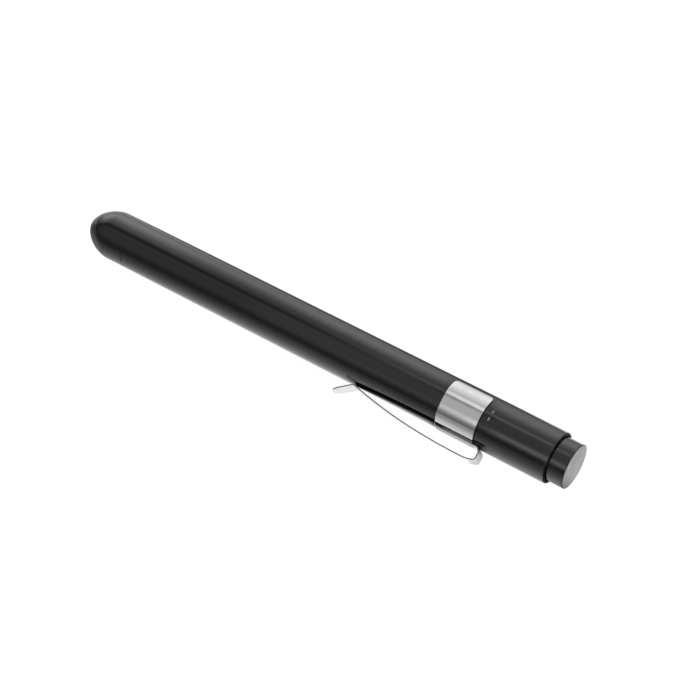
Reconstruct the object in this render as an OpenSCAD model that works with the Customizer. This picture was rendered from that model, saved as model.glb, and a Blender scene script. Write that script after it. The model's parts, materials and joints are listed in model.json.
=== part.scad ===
// Penlight with a screw-on nose, two cells, a push button in the tail and a sprung pocket clip.
// The pen lies along X: nose towards -X, button towards +X, Z up. X = 0 is the seam between nose and
// barrel, on the pen's axis. All sizes are in millimetres.

/* [Barrel] */
// Wall of the barrel round the cells' bore
barrel_wall = 1.2; // [0.8:0.05:2]
// Width of the groove at the seam between nose and barrel
seam_w = 0.2; // [0.1:0.05:0.8]
// Depth of that groove
seam_depth = 0.1; // [0.05:0.05:0.5]
// Wall of the barrel's mouth, where the nose screws in
mouth_wall = 0.7; // [0.5:0.05:0.8]
// Depth of the mouth
mouth_depth = 5.2; // [4.8:0.1:6]

/* [Cells] */
// Diameter of a cell
cell_d = 10.5; // [9.6:0.1:10.6]
// Length of a cell, with its cap
cell_l = 44.5; // [30:0.5:50.5]
// Diameter of a cell's cap
cell_cap_d = 3.8; // [3:0.1:4.2]
// Height of a cell's cap
cell_cap_h = 1; // [0.8:0.1:1.6]
// Room round a cell in the bore
cell_clear = 0.15; // [0.1:0.01:0.4]
// Distance from the seam to the front cell's cap
lamp_depth = 5; // [4.8:0.1:7]

/* [Nose] */
// Length of the nose's straight collar
collar_l = 6.35; // [5:0.05:10]
// Length of the dome, if it ran to a closed tip
dome_l = 8.65; // [7.5:0.05:12]
// Roundness of the dome: 2 is an ellipse, less is more pointed
dome_power = 1.7; // [1.5:0.05:2.2]
// Width of the lip that holds the lens, round the light's aperture in the tip
aperture_lip = 0.85; // [0.6:0.05:1.1]
// Depth of the aperture, from the tip to the lens's shoulder
aperture_depth = 1.85; // [1.2:0.05:2.4]
// Room between the nose's spigot and the barrel's mouth
thread_clear = 0.2; // [0.12:0.02:0.3]
// Wall of the nose's spigot
spigot_wall = 1; // [0.7:0.05:1.2]
// Gap from the spigot's end to the mouth's floor
spigot_end_gap = 0.6; // [0.3:0.1:1.2]
// Travel of the nose along its thread, from tight to the last turn
unscrew_travel = 4; // [2:0.5:4]
// Section of the seal ring
seal_d = 0.7; // [0.5:0.05:0.8]
// Distance from the seam to the seal ring's middle
seal_x = 0.8; // [0.6:0.05:1.2]

/* [Lamp] */
// Diameter of the lamp
led_d = 3; // [2.6:0.1:3.2]
// Gap from the lamp's tip to the lens
led_tip_gap = 1.1; // [0.6:0.1:1.8]
// Diameter of the lamp's flange
led_flange_d = 3.8; // [3.4:0.1:4.4]
// Thickness of the lamp's flange
led_flange_t = 1; // [0.6:0.1:1.4]
// Step in the nose from the reflector down to the lens
lens_step = 1.42; // [1.1:0.02:1.7]
// Thickness of the lens's body
lens_t = 2.5; // [1.8:0.1:3]
// Step in the nose from the lamp holder down to the reflector
reflector_step = 0.51; // [0.3:0.01:0.8]
// Wall of the lamp holder
holder_wall = 0.45; // [0.35:0.05:0.6]
// Front wall of the lamp holder
holder_front_t = 1.2; // [0.8:0.1:1.6]
// Distance from the holder's front to its board
board_depth = 3.1; // [2.8:0.1:3.6]
// Thickness of the lamp's board
board_t = 1; // [0.8:0.1:1.6]
// Width of the ledge that the board rests on
board_ledge = 0.4; // [0.3:0.05:0.6]
// Wall of the insulating ring
insulator_wall = 1.4; // [1:0.1:1.6]
// Gap from the holder's rear end to the front cell's cap
holder_end_gap = 1.6; // [1:0.1:2.4]
// Height of the chip on the board
chip_h = 0.5; // [0.3:0.05:0.8]
// Length of the chip
chip_l = 1.8; // [1:0.1:2.2]
// Gap from the chip to the lamp's flange and to the board's ledge
chip_gap = 0.35; // [0.2:0.01:0.4]
// Room between the lamp's pieces that come apart
lamp_clear = 0.1; // [0.05:0.01:0.14]
// Room round the lamp in the reflector and the holder
led_clear = 0.25; // [0.15:0.01:0.3]

/* [Tail] */
// Length of the tail sleeve that shows
tail_l = 17.6; // [16:0.1:30]
// Length of the spigot that holds the tail in the barrel
tail_spigot_l = 6.7; // [4.5:0.1:8]
// Wall of that spigot
tail_spigot_wall = 0.88; // [0.7:0.02:1.2]
// Thickness of the web that carries the switch
web_t = 2.5; // [1.5:0.1:4]
// Radius of the tail's rounded rim
rim_r = 0.6; // [0.2:0.05:0.6]
// Fit of pieces that are pressed or stand in a bore
seat_clear = 0.02; // [0.01:0.01:0.05]

/* [Button] */
// Wall of the tail round the button
rim_wall = 0.65; // [0.65:0.05:1]
// Room round the button in the tail
button_clear = 0.26; // [0.2:0.02:0.4]
// How far the button stands out of the tail
button_out = 4.35; // [3.2:0.01:6]
// Travel of the button
button_travel = 2; // [1:0.1:2.6]
// Thickness of the button's end behind the disc
button_floor_t = 5.3; // [3:0.1:6]
// Length of the gap between the web and the pressed button's skirt
skirt_room = 3; // [1:0.1:4]
// Chamfer round the button's end
button_chamfer = 0.1; // [0.04:0.02:0.12]
// Width of the black rim round the disc on the button's end
disc_margin = 0.15; // [0.15:0.01:1]
// Thickness of that disc
disc_t = 0.45; // [0.3:0.05:0.8]

/* [Switch] */
// Running clearance of the button's stem in its bush
stem_clear = 0.05; // [0.02:0.01:0.1]
// Wall of the bush round the stem
bush_wall = 1.59; // [1.2:0.01:1.8]
// Step from the bush's flange down to the bush
bush_shoulder = 1.11; // [0.9:0.01:1.3]
// Length of the bush behind the web
bush_l = 2; // [0.5:0.1:2.5]
// Room round the bush's flange in the tail's spigot
flange_clear = 0.1; // [0.05:0.01:0.2]
// Thickness of the bush's flange
bush_flange_t = 2.5; // [1:0.1:3]
// Room round the moving contact in the tail's spigot
contact_clear = 0.5; // [0.3:0.05:1]
// Thickness of the moving contact
contact_t = 0.5; // [0.3:0.05:0.8]
// Gap between the moving contact and the bush that stops it
stop_gap = 0.1; // [0.05:0.01:0.2]
// Gap between the pressed contact and the insulating cup
contact_room = 0.9; // [0.5:0.1:1.5]
// Gap between the pressed rivet and the tail contact
touch_gap = 0.1; // [0.05:0.01:0.2]
// Diameter of the rivet's head
rivet_head_d = 2.6; // [1.8:0.1:3.6]
// Diameter of the rivet's shank
rivet_d = 1.2; // [0.8:0.1:1.6]
// Length of the rivet's shank in the stem
rivet_l = 3; // [1.5:0.1:5]
// Length of the battery spring, compressed
battery_spring_l = 9.7; // [7:0.1:14]
// Thickness of the tail contact
plate_t = 0.4; // [0.3:0.05:0.8]
// Wall of the insulating cup
cup_wall = 0.68; // [0.4:0.02:0.9]
// Thickness of the insulating cup's floor
cup_floor_t = 0.4; // [0.3:0.05:0.8]
// Length of the cup's side in front of the tail contact
cup_l = 7.2; // [3:0.1:7.6]
// Room round the rivet's head in the hole of the cup's floor
cup_hole_room = 1.2; // [0.6:0.1:1.5]

/* [Clip] */
// Width of the band along the barrel
band_w = 10.75; // [7:0.05:16]
// Thickness of the band
band_t = 0.34; // [0.25:0.01:0.5]
// Angle that the band wraps round the barrel
band_arc = 278; // [220:1:320]
// Radius of the corners of the band
band_corner_r = 1.1; // [0.3:0.1:1.5]
// Gap between the band and the tail sleeve's seam
band_tail_gap = 1.6; // [0:0.05:2]
// Width of the spring strip
strip_w = 4.4; // [4:0.1:7]
// Thickness of the spring strip
strip_t = 0.34; // [0.25:0.01:0.45]
// Reach of the strip's bend past the band
bend_reach = 2.35; // [2:0.05:4]
// Radius of the bend at the band, to the middle of the strip
bend_root_r = 1.3; // [0.6:0.05:1.6]
// Radius of the bend at the leaf, to the middle of the strip
bend_leaf_r = 0.55; // [0.4:0.05:0.7]
// Angle at which the leaf leaves the bend
leaf_start_angle = 26; // [12:1:30]
// Roundness of the leaf between its bend and its highest place
leaf_start_power = 3.5; // [2.5:0.1:5]
// Height of the leaf's highest place over the barrel
leaf_height = 3.7; // [3.4:0.02:5]
// Distance from the band's rear edge to the leaf's highest place
leaf_top_back = 2.6; // [2:0.1:8]
// Distance from the band's rear edge to where the leaf meets the barrel
leaf_contact_back = 34.1; // [26:0.1:45]
// Angle at which the leaf comes down on the barrel
leaf_end_angle = 13; // [10:1:24]
// Gap that is left between the leaf and the barrel
leaf_gap = 0.1; // [0.05:0.01:0.2]
// Radius of the leaf where it meets the barrel, to the middle of the strip
contact_r = 0.8; // [0.5:0.05:1.5]
// Angle of the flared lip
lip_angle = 37.5; // [25:0.5:50]
// Length of the lip along the barrel
lip_l = 4.8; // [2.5:0.1:6]
// Radius of the lip's corners
lip_corner_r = 1.6; // [0.5:0.1:1.9]
// Gap at the line where the leaf flexes
flex_gap = 0.1; // [0.06:0.01:0.2]

/* [Springs] */
// Wire of the battery spring
battery_wire_d = 0.7; // [0.5:0.05:0.8]
// Curls of the battery spring
battery_curls = 6; // [4:1:7]
// Room from the cup's wall to the middle of the battery spring's wire
battery_spring_room = 1; // [0.6:0.05:1.4]
// How much smaller in radius the battery spring is at the cell
battery_spring_taper = 1.1; // [0:0.1:1.4]
// Wire of the button's return spring
return_wire_d = 0.5; // [0.3:0.05:0.5]
// Room for the return spring between the bush and the button's skirt
return_spring_room = 1.2; // [1:0.05:1.4]
// Curls of the return spring
return_curls = 8; // [5:1:9]
// Wire of the front contact spring
front_wire_d = 0.45; // [0.3:0.05:0.5]
// Curls of the front contact spring
front_curls = 5; // [4:1:6]
// Room round the front contact spring in the insulating ring
front_spring_room = 0.4; // [0.2:0.05:0.6]
// How far the front contact spring's wire lies inside the edge of the cell's cap
front_spring_inset = 0.6; // [0.3:0.05:0.8]
// Gap between a spring's end and its seat
spring_end_gap = 0.05; // [0.02:0.01:0.1]

/* [Hidden] */
$fn = 96;

black = [0.035, 0.035, 0.038];
steel = [0.72, 0.72, 0.73];
brass = [0.80, 0.62, 0.28];
cell_jacket = [0.22, 0.30, 0.36];

bore_r = cell_d / 2 + cell_clear;
barrel_r = bore_r + barrel_wall;
mouth_r = barrel_r - mouth_wall;
nose_r = barrel_r;

// Radii inside the nose, from the spigot inward
spigot_r = mouth_r - thread_clear;
seal_r = spigot_r + 0.75 * thread_clear - seal_d / 2;
nose_bore_r = spigot_r - spigot_wall;
holder_r = nose_bore_r - lamp_clear;
board_r = holder_r - holder_wall - seat_clear;
ledge_r = board_r + seat_clear - board_ledge;
reflector_r = nose_bore_r - reflector_step - seat_clear;
lens_r = reflector_r - lens_step;
aperture_r = lens_r - aperture_lip;
led_r = led_d / 2;
led_hole_r = led_r + led_clear;
front_spring_r = board_r - insulator_wall - front_spring_room - front_wire_d / 2;
front_spring_end_r = cell_cap_d / 2 - front_spring_inset;

// Radii inside the tail, from the barrel's bore inward
cup_r = bore_r - seat_clear;
cup_bore_r = cup_r - cup_wall;
battery_spring_r = cup_bore_r - battery_spring_room;
tail_spigot_r = bore_r - seat_clear;
tail_spigot_bore_r = tail_spigot_r - tail_spigot_wall;
bush_flange_r = tail_spigot_bore_r - flange_clear;
bush_r = bush_flange_r - bush_shoulder;
stem_hole_r = bush_r - bush_wall;
stem_r = stem_hole_r - stem_clear;
moving_r = tail_spigot_bore_r - contact_clear;
cup_hole_r = rivet_head_d / 2 + cup_hole_room;
tail_bore_r = barrel_r - rim_wall;
button_r = tail_bore_r - button_clear;
skirt_bore_r = bush_r + return_spring_room;
return_spring_r = bush_r + 0.6 * return_spring_room;
disc_r = button_r - disc_margin;

// Places along the pen, from the seam back
front_cell_x = lamp_depth;
rear_cell_x = front_cell_x + cell_l;
cells_end_x = rear_cell_x + cell_l;
plate_x = cells_end_x + battery_spring_l;
cup_floor_x = plate_x + plate_t;
cup_end_x = cup_floor_x + cup_floor_t;
barrel_l = cup_end_x + tail_spigot_l;
bush_x = cup_end_x + contact_room + button_travel + contact_t + stop_gap;
web_x = bush_x + bush_flange_t;
web_end_x = web_x + web_t;
rim_x = barrel_l + tail_l;
button_end_x = rim_x + button_out;
disc_x = button_end_x - disc_t;
button_floor_x = disc_x - button_floor_t;
skirt_x = web_end_x + skirt_room + button_travel;
stem_x = bush_x - stop_gap;
moving_x = stem_x - contact_t;
rivet_x = cup_floor_x + touch_gap + button_travel;

// Places along the pen, from the seam forward
function dome_r(s) = nose_r * pow(1 - pow(s, dome_power), 1 / dome_power);
tip_s = pow(1 - pow(aperture_r / nose_r, dome_power), 1 / dome_power);
tip_x = -collar_l - dome_l * tip_s;
lens_x = tip_x + aperture_depth;
lens_end_x = lens_x + lens_t;
lamp_step_x = 0.15 - collar_l;
holder_x = lamp_step_x + lamp_clear;
holder_end_x = lamp_depth - holder_end_gap;
board_x = holder_x + board_depth;
board_end_x = board_x + board_t;
spigot_end_x = mouth_depth - spigot_end_gap;

// The strip in its own plane: x along the pen, y away from the pen's axis
band_r = barrel_r + band_t;
band_end_x = barrel_l - band_tail_gap;
band_x = band_end_x - band_w;
strip_y = barrel_r + strip_t / 2;
riser_x = band_end_x + bend_reach - strip_t / 2;
root_centre = [riser_x - bend_root_r, strip_y + bend_root_r];
leaf_top = [band_end_x - leaf_top_back, barrel_r + leaf_height];
bend_turn = 90 - leaf_start_angle;
leaf_start_x = riser_x - bend_leaf_r + bend_leaf_r * cos(bend_turn);
leaf_start_run = leaf_start_x - leaf_top.x;
leaf_start_drop = tan(leaf_start_angle) * leaf_start_run / leaf_start_power;
flex_centre = [riser_x - bend_leaf_r, leaf_top.y - leaf_start_drop - bend_leaf_r * sin(bend_turn)];
contact_centre = [band_end_x - leaf_contact_back, barrel_r + leaf_gap + strip_t / 2 + contact_r];
leaf_end = contact_centre + contact_r * [sin(leaf_end_angle), -cos(leaf_end_angle)];
leaf_run = leaf_top.x - leaf_end.x;
leaf_drop = leaf_top.y - leaf_end.y;
leaf_power = tan(leaf_end_angle) * leaf_run / leaf_drop;
lip_start = contact_centre + contact_r * [-sin(lip_angle), -cos(lip_angle)];
lip_x = contact_centre.x - lip_l;
lip_tip = [lip_x, lip_start.y + (lip_start.x - lip_x) * tan(lip_angle)];

// Turn of the clip about the pen, at which the pen lies on its band and on the leaf's edge
leaf_reach = leaf_top.y + strip_t / 2;
clip_tilt = asin(band_r / norm([leaf_reach, strip_w / 2])) - atan(strip_w / 2 / leaf_reach);

dome_steps = 28;
leaf_start_steps = 10;
leaf_steps = 28;
arc_steps = 8;
curl_rings = 8;
wire_sides = 6;

// Solid of revolution about the pen's axis, from points of radius and place along the pen
module lathe(points) {
    rotate([0, 90, 0]) rotate_extrude() polygon(points);
}

// Round tube along the pen
module tube(x0, x1, outer, inner) {
    lathe([[inner, x0], [outer, x0], [outer, x1], [inner, x1]]);
}

// Round rod along the pen
module rod(x0, x1, r) {
    tube(x0, x1, r, 0);
}

// Points on an arc in a plane
function arc(centre, r, a0, a1, steps) =
    [for (i = [0 : steps]) centre + r * [cos(a0 + (a1 - a0) * i / steps), sin(a0 + (a1 - a0) * i / steps)]];

// Middle points of a coil along the pen, from place x0 and radius r0 to place x1 and radius r1
function coil(x0, x1, r0, r1, curls) =
    [for (i = [0 : curls * curl_rings]) let (u = i / (curls * curl_rings), a = 360 * curls * u,
        r = r0 + (r1 - r0) * u) [x0 + (x1 - x0) * u, r * cos(a), r * sin(a)]];

// Least distance between a coil's neighbouring curls, less the wire
function coil_gap(points, wire_d) =
    min([for (i = [0 : len(points) - curl_rings - 1]) norm(points[i + curl_rings] - points[i])]) - wire_d;

// One unbroken round wire along a coil
module coil_spring(name, x0, x1, d0, d1, curls, wire_d) {
    inset = wire_d / 2 + spring_end_gap;
    points = coil(x0 + inset, x1 - inset, d0 / 2, d1 / 2, curls);
    rings = len(points);
    echo(str(name, ": least gap between curls ", coil_gap(points, wire_d), " mm"));
    skin = [for (i = [0 : rings - 1], k = [0 : wire_sides - 1])
        let (a = 360 * i / curl_rings, b = 360 * k / wire_sides, radial = [0, cos(a), sin(a)])
        points[i] + wire_d / 2 * (cos(b) * radial + sin(b) * [1, 0, 0])];
    sides = [for (i = [0 : rings - 2], k = [0 : wire_sides - 1])
        let (a = i * wire_sides, b = a + wire_sides, n = (k + 1) % wire_sides)
        each [[a + k, b + n, a + n], [a + k, b + k, b + n]]];
    last = (rings - 1) * wire_sides;
    ends = [for (k = [1 : wire_sides - 2]) each [[0, k, k + 1], [last, last + k + 1, last + k]]];
    polyhedron(skin, concat(sides, ends));
}

// The clip's own frame: x along the pen, y from the pen's axis towards the leaf
module clip_frame() {
    rotate([180 + clip_tilt, 0, 0]) children();
}

// Sheet wrapped round the pen in the clip's frame. Its corners are rounded at the front (-1), the rear (1) or both
module wrapped_sheet(x0, x1, r, t, angle, corner_r, ends) {
    rotate([0, 90, 0]) difference() {
        rotate([0, 0, 90 - angle / 2]) rotate_extrude(angle = angle)
            polygon([[r, x0], [r + t, x0], [r + t, x1], [r, x1]]);
        for (side = [-1, 1], end = ends)
            rotate([0, 0, 90 + side * angle / 2])
                translate([0, 0, end < 0 ? x0 : x1])
                    corner_cut(r, t, corner_r, -side, -end);
    }
}

// What is cut off a sheet's corner: a square with the corner's round taken out
module corner_cut(r, t, corner_r, side, end) {
    over = t;
    rotate([0, 90, 0]) translate([0, 0, r - over]) linear_extrude(t + 2 * over) difference() {
        translate([-end * corner_r / 2 + end * over / 2, side * corner_r / 2 - side * over / 2])
            square([corner_r + over, corner_r + over], center = true);
        translate([-end * corner_r, side * corner_r]) circle(corner_r);
    }
}

// Part of a flat ring, from angle a0 to angle a1, at most a quarter turn
module ring_part(centre, r, t, a0, a1) {
    reach = 2 * (r + t);
    translate(centre) intersection() {
        difference() {
            circle(r + t / 2);
            circle(r - t / 2);
        }
        polygon([[0, 0], reach * [cos(a0), sin(a0)], reach * [cos((a0 + a1) / 2), sin((a0 + a1) / 2)],
            reach * [cos(a1), sin(a1)]]);
    }
}

// Nose

module nose_shell() {
    dome = [for (i = [0 : dome_steps]) let (s = tip_s * sin(90 * i / dome_steps))
        [dome_r(s), -collar_l - dome_l * s]];
    color(black) difference() {
        lathe(concat([[nose_bore_r, spigot_end_x], [spigot_r, spigot_end_x], [spigot_r, 0], [nose_r, 0]],
            dome, [[aperture_r, lens_x], [lens_r + seat_clear, lens_x],
            [lens_r + seat_clear, lens_end_x], [reflector_r + seat_clear, lens_end_x],
            [reflector_r + seat_clear, lamp_step_x], [nose_bore_r, lamp_step_x]]));
        seal(seal_d + 2 * seat_clear);
    }
}

module seal(section_d) {
    rotate([0, 90, 0]) rotate_extrude() translate([seal_r, seal_x]) circle(section_d / 2, $fn = 32);
}

module nose_o_ring() {
    color([0.08, 0.08, 0.08]) seal(seal_d);
}

module nose_lens() {
    tip_r = aperture_r - seat_clear;
    dome_depth = 0.8 * aperture_depth;
    dome = [for (i = [0 : arc_steps]) let (a = 90 * i / arc_steps)
        [tip_r * cos(a), lens_x - dome_depth * sin(a)]];
    color([0.85, 0.92, 0.95, 0.5])
        lathe(concat([[0, lens_end_x], [lens_r, lens_end_x], [lens_r, lens_x]], dome));
}

module reflector() {
    color([0.9, 0.9, 0.92]) lathe([[led_hole_r, lamp_step_x], [reflector_r, lamp_step_x],
        [reflector_r, lens_end_x], [lens_r, lens_end_x]]);
}

// Lamp

module led() {
    flange_x = board_x - led_flange_t;
    dome_x = lens_end_x + led_tip_gap + led_r;
    color([0.95, 0.95, 0.85, 0.8]) lathe(concat(
        [[0, board_x], [led_flange_d / 2, board_x], [led_flange_d / 2, flange_x], [led_r, flange_x]],
        [for (i = [0 : arc_steps]) let (a = 90 * i / arc_steps) [led_r * cos(a), dome_x - led_r * sin(a)]]));
}

module led_board() {
    color([0.12, 0.35, 0.2]) rod(board_x, board_end_x, board_r);
}

module led_resistor() {
    chip_w = ledge_r - led_flange_d / 2 - 2 * chip_gap;
    color([0.1, 0.1, 0.1]) translate([board_x - chip_h, -chip_l / 2, led_flange_d / 2 + chip_gap])
        cube([chip_h, chip_l, chip_w]);
}

module lamp_holder() {
    color(brass) lathe([[led_hole_r, holder_x], [holder_r, holder_x], [holder_r, holder_end_x],
        [board_r + seat_clear, holder_end_x], [board_r + seat_clear, board_x], [ledge_r, board_x],
        [ledge_r, holder_x + holder_front_t], [led_hole_r, holder_x + holder_front_t]]);
}

module lamp_insulator() {
    color([0.9, 0.9, 0.86]) tube(board_end_x, holder_end_x, board_r, board_r - insulator_wall);
}

module front_contact_spring() {
    color(brass) coil_spring("front_contact_spring", board_end_x, front_cell_x,
        2 * front_spring_r, 2 * front_spring_end_r, front_curls, front_wire_d);
}

// Barrel and cells

module barrel() {
    color(black) lathe([[mouth_r, 0], [barrel_r - seam_depth, 0], [barrel_r, seam_w], [barrel_r, barrel_l],
        [bore_r, barrel_l], [bore_r, mouth_depth], [mouth_r, mouth_depth]]);
}

module cell(x) {
    edge = 0.4;
    body_r = cell_d / 2;
    lathe([[0, x + cell_cap_h], [body_r - edge, x + cell_cap_h], [body_r, x + cell_cap_h + edge],
        [body_r, x + cell_l - edge], [body_r - edge, x + cell_l], [0, x + cell_l]]);
}

module cell_cap(x) {
    edge = 0.2;
    cap_r = cell_cap_d / 2;
    lathe([[0, x], [cap_r - edge, x], [cap_r, x + edge], [cap_r, x + cell_cap_h], [0, x + cell_cap_h]]);
}

module front_cell() {
    color(cell_jacket) cell(front_cell_x);
}

module front_cell_cap() {
    color(steel) cell_cap(front_cell_x);
}

module rear_cell() {
    color(cell_jacket) cell(rear_cell_x);
}

module rear_cell_cap() {
    color(steel) cell_cap(rear_cell_x);
}

module battery_spring() {
    color(steel) coil_spring("battery_spring", cells_end_x, plate_x,
        2 * (battery_spring_r - battery_spring_taper), 2 * battery_spring_r, battery_curls, battery_wire_d);
}

module contact_cup() {
    color([0.85, 0.84, 0.78]) lathe([[cup_bore_r, plate_x - cup_l], [cup_r, plate_x - cup_l],
        [cup_r, cup_end_x], [cup_hole_r, cup_end_x], [cup_hole_r, cup_floor_x], [cup_bore_r, cup_floor_x]]);
}

module tail_contact() {
    color(brass) rod(plate_x, cup_floor_x, cup_bore_r - seat_clear);
}

// Tail, switch and button

module tail_sleeve() {
    web_hole_r = bush_r + seat_clear;
    rim = arc([barrel_r - rim_r, rim_x - rim_r], rim_r, 0, 90, arc_steps);
    color(black) lathe(concat([[tail_spigot_bore_r, cup_end_x], [tail_spigot_r, cup_end_x],
        [tail_spigot_r, barrel_l], [barrel_r, barrel_l]], rim,
        [[tail_bore_r, rim_x], [tail_bore_r, web_end_x], [web_hole_r, web_end_x],
        [web_hole_r, web_x], [tail_spigot_bore_r, web_x]]));
}

module switch_base() {
    bush_end_x = web_end_x + bush_l;
    color(brass) lathe([[stem_hole_r, bush_x], [bush_flange_r, bush_x], [bush_flange_r, web_x],
        [bush_r, web_x], [bush_r, bush_end_x], [stem_hole_r, bush_end_x]]);
}

module return_spring() {
    color(steel) coil_spring("return_spring", web_end_x, button_floor_x,
        2 * return_spring_r, 2 * return_spring_r, return_curls, return_wire_d);
}

module push_button() {
    hole_r = rivet_d / 2 + seat_clear;
    hole_x = stem_x + rivet_l + seat_clear;
    color(black) lathe([[hole_r, stem_x], [stem_r, stem_x], [stem_r, button_floor_x],
        [skirt_bore_r, button_floor_x], [skirt_bore_r, skirt_x], [button_r, skirt_x],
        [button_r, button_end_x - button_chamfer], [button_r - button_chamfer, button_end_x],
        [disc_r + seat_clear, button_end_x], [disc_r + seat_clear, disc_x], [0, disc_x],
        [0, hole_x], [hole_r, hole_x]]);
}

module button_disc() {
    color([0.62, 0.62, 0.62]) rod(disc_x, button_end_x, disc_r);
}

module moving_contact() {
    color(brass) tube(moving_x, stem_x, moving_r, rivet_d / 2 + seat_clear);
}

module contact_rivet() {
    color(steel) union() {
        rod(rivet_x, moving_x, rivet_head_d / 2);
        rod(moving_x, stem_x + rivet_l, rivet_d / 2);
    }
}

// Clip

module clip_band() {
    color(steel) clip_frame()
        wrapped_sheet(band_x, band_end_x, barrel_r, band_t, band_arc, band_corner_r, [-1, 1]);
}

module clip_bend() {
    root_angle = 2 * asin(strip_w / 2 / strip_y);
    tongue_l = 0.4;
    flat_x = band_end_x + tongue_l / 8;
    color(steel) clip_frame() union() {
        wrapped_sheet(band_end_x, band_end_x + tongue_l, barrel_r, strip_t, root_angle, 0, []);
        linear_extrude(strip_w, center = true) union() {
            translate([flat_x, barrel_r]) square([root_centre.x - flat_x, strip_t]);
            ring_part(root_centre, bend_root_r, strip_t, -90, 0);
            translate([riser_x - strip_t / 2, root_centre.y])
                square([strip_t, flex_centre.y - root_centre.y]);
            ring_part(flex_centre, bend_leaf_r, strip_t, 0, bend_turn);
        }
    }
}

// Height of the leaf's middle at a place along the pen, on either side of its highest place
function leaf_y(x) = x > leaf_top.x
    ? leaf_top.y - leaf_start_drop * pow((x - leaf_top.x) / leaf_start_run, leaf_start_power)
    : leaf_top.y - leaf_drop * pow((leaf_top.x - x) / leaf_run, leaf_power);

// Middle of the leaf from the bend to the lip's tip
function leaf_line() = concat(
    [for (i = [0 : leaf_start_steps - 1]) let (u = i / leaf_start_steps,
        x = leaf_start_x - flex_gap - (leaf_start_run - flex_gap) * u) [x, leaf_y(x)]],
    [for (i = [0 : leaf_steps - 1]) let (x = leaf_top.x - leaf_run * i / leaf_steps) [x, leaf_y(x)]],
    arc(contact_centre, contact_r, leaf_end_angle - 90, -90 - lip_angle, arc_steps), [lip_tip]);

// A line moved sideways by d, square to its own run
function beside(line, d) = [for (i = [0 : len(line) - 1])
    let (run = line[min(i + 1, len(line) - 1)] - line[max(i - 1, 0)], n = [-run.y, run.x] / norm(run))
    line[i] + d * n];

module clip_leaf() {
    line = leaf_line();
    outer = beside(line, -strip_t / 2);
    inner = beside(line, strip_t / 2);
    color(steel) clip_frame() difference() {
        linear_extrude(strip_w, center = true)
            polygon(concat(outer, [for (i = [len(inner) - 1 : -1 : 0]) inner[i]]));
        for (side = [-1, 1]) lip_corner_cut(side);
    }
}

// What is cut off one corner of the lip: a square with the corner's round taken out
module lip_corner_cut(side) {
    over = strip_t;
    edge = strip_w / 2;
    rotate([-90, 0, 0]) linear_extrude(leaf_reach + strip_w) difference() {
        translate([lip_tip.x - over, side > 0 ? edge - lip_corner_r : -edge - over])
            square([lip_corner_r + over, lip_corner_r + over]);
        translate([lip_tip.x + lip_corner_r, side * (edge - lip_corner_r)]) circle(lip_corner_r);
    }
}

nose_shell();
nose_lens();
reflector();
nose_o_ring();
led();
led_board();
led_resistor();
lamp_holder();
lamp_insulator();
front_contact_spring();
barrel();
front_cell();
front_cell_cap();
rear_cell();
rear_cell_cap();
battery_spring();
contact_cup();
tail_contact();
tail_sleeve();
switch_base();
return_spring();
push_button();
button_disc();
moving_contact();
contact_rivet();
clip_band();
clip_bend();
clip_leaf();
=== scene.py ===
"""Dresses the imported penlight: smooth lathed and swept pieces, finishes, stage, lights and camera."""

import json

import bpy
import numpy as np
from bpy.props import FloatProperty, FloatVectorProperty, IntProperty, PointerProperty
from mathutils import Matrix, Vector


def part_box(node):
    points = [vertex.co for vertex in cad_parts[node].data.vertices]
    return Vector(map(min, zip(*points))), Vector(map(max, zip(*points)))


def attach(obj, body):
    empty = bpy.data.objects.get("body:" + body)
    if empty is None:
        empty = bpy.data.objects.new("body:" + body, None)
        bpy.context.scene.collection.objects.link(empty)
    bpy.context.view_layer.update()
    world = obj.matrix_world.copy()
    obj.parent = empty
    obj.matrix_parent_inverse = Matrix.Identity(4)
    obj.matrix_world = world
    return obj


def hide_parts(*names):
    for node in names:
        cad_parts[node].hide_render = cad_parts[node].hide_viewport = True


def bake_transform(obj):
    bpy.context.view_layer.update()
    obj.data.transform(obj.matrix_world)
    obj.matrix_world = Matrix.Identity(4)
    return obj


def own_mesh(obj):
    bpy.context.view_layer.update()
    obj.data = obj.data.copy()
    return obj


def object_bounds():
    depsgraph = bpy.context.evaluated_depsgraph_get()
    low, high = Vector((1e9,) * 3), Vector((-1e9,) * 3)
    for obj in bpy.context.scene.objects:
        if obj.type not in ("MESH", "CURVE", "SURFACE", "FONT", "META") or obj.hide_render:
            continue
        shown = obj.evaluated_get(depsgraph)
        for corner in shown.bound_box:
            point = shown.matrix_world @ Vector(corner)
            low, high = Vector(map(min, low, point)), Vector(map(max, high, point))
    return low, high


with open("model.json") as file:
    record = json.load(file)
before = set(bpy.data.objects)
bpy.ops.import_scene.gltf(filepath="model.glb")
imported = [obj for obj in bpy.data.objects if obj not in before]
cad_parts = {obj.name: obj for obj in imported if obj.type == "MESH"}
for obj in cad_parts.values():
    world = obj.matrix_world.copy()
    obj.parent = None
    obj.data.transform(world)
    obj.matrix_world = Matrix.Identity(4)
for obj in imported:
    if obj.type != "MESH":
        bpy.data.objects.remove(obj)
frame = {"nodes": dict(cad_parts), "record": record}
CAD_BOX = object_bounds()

bl_info = {
    "name": "Penlight",
    "version": (1, 0, 0),
    "blender": (4, 5, 0),
    "location": "View3D > Sidebar > Penlight",
    "description": "Dresses the packed penlight and sets its stage",
    "category": "Object",
}

MM = 0.001
TURN = 2 * np.pi
JOINTS = {joint["name"]: joint for joint in frame["record"]["behaviour"]["joints"]}
CLIP_SIDE = np.array(JOINTS["clip_flex"]["axis"])
PEN_AXIS = np.array([1.0, 0.0, 0.0])
CLIP_OUT = np.cross(PEN_AXIS, CLIP_SIDE)

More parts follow.
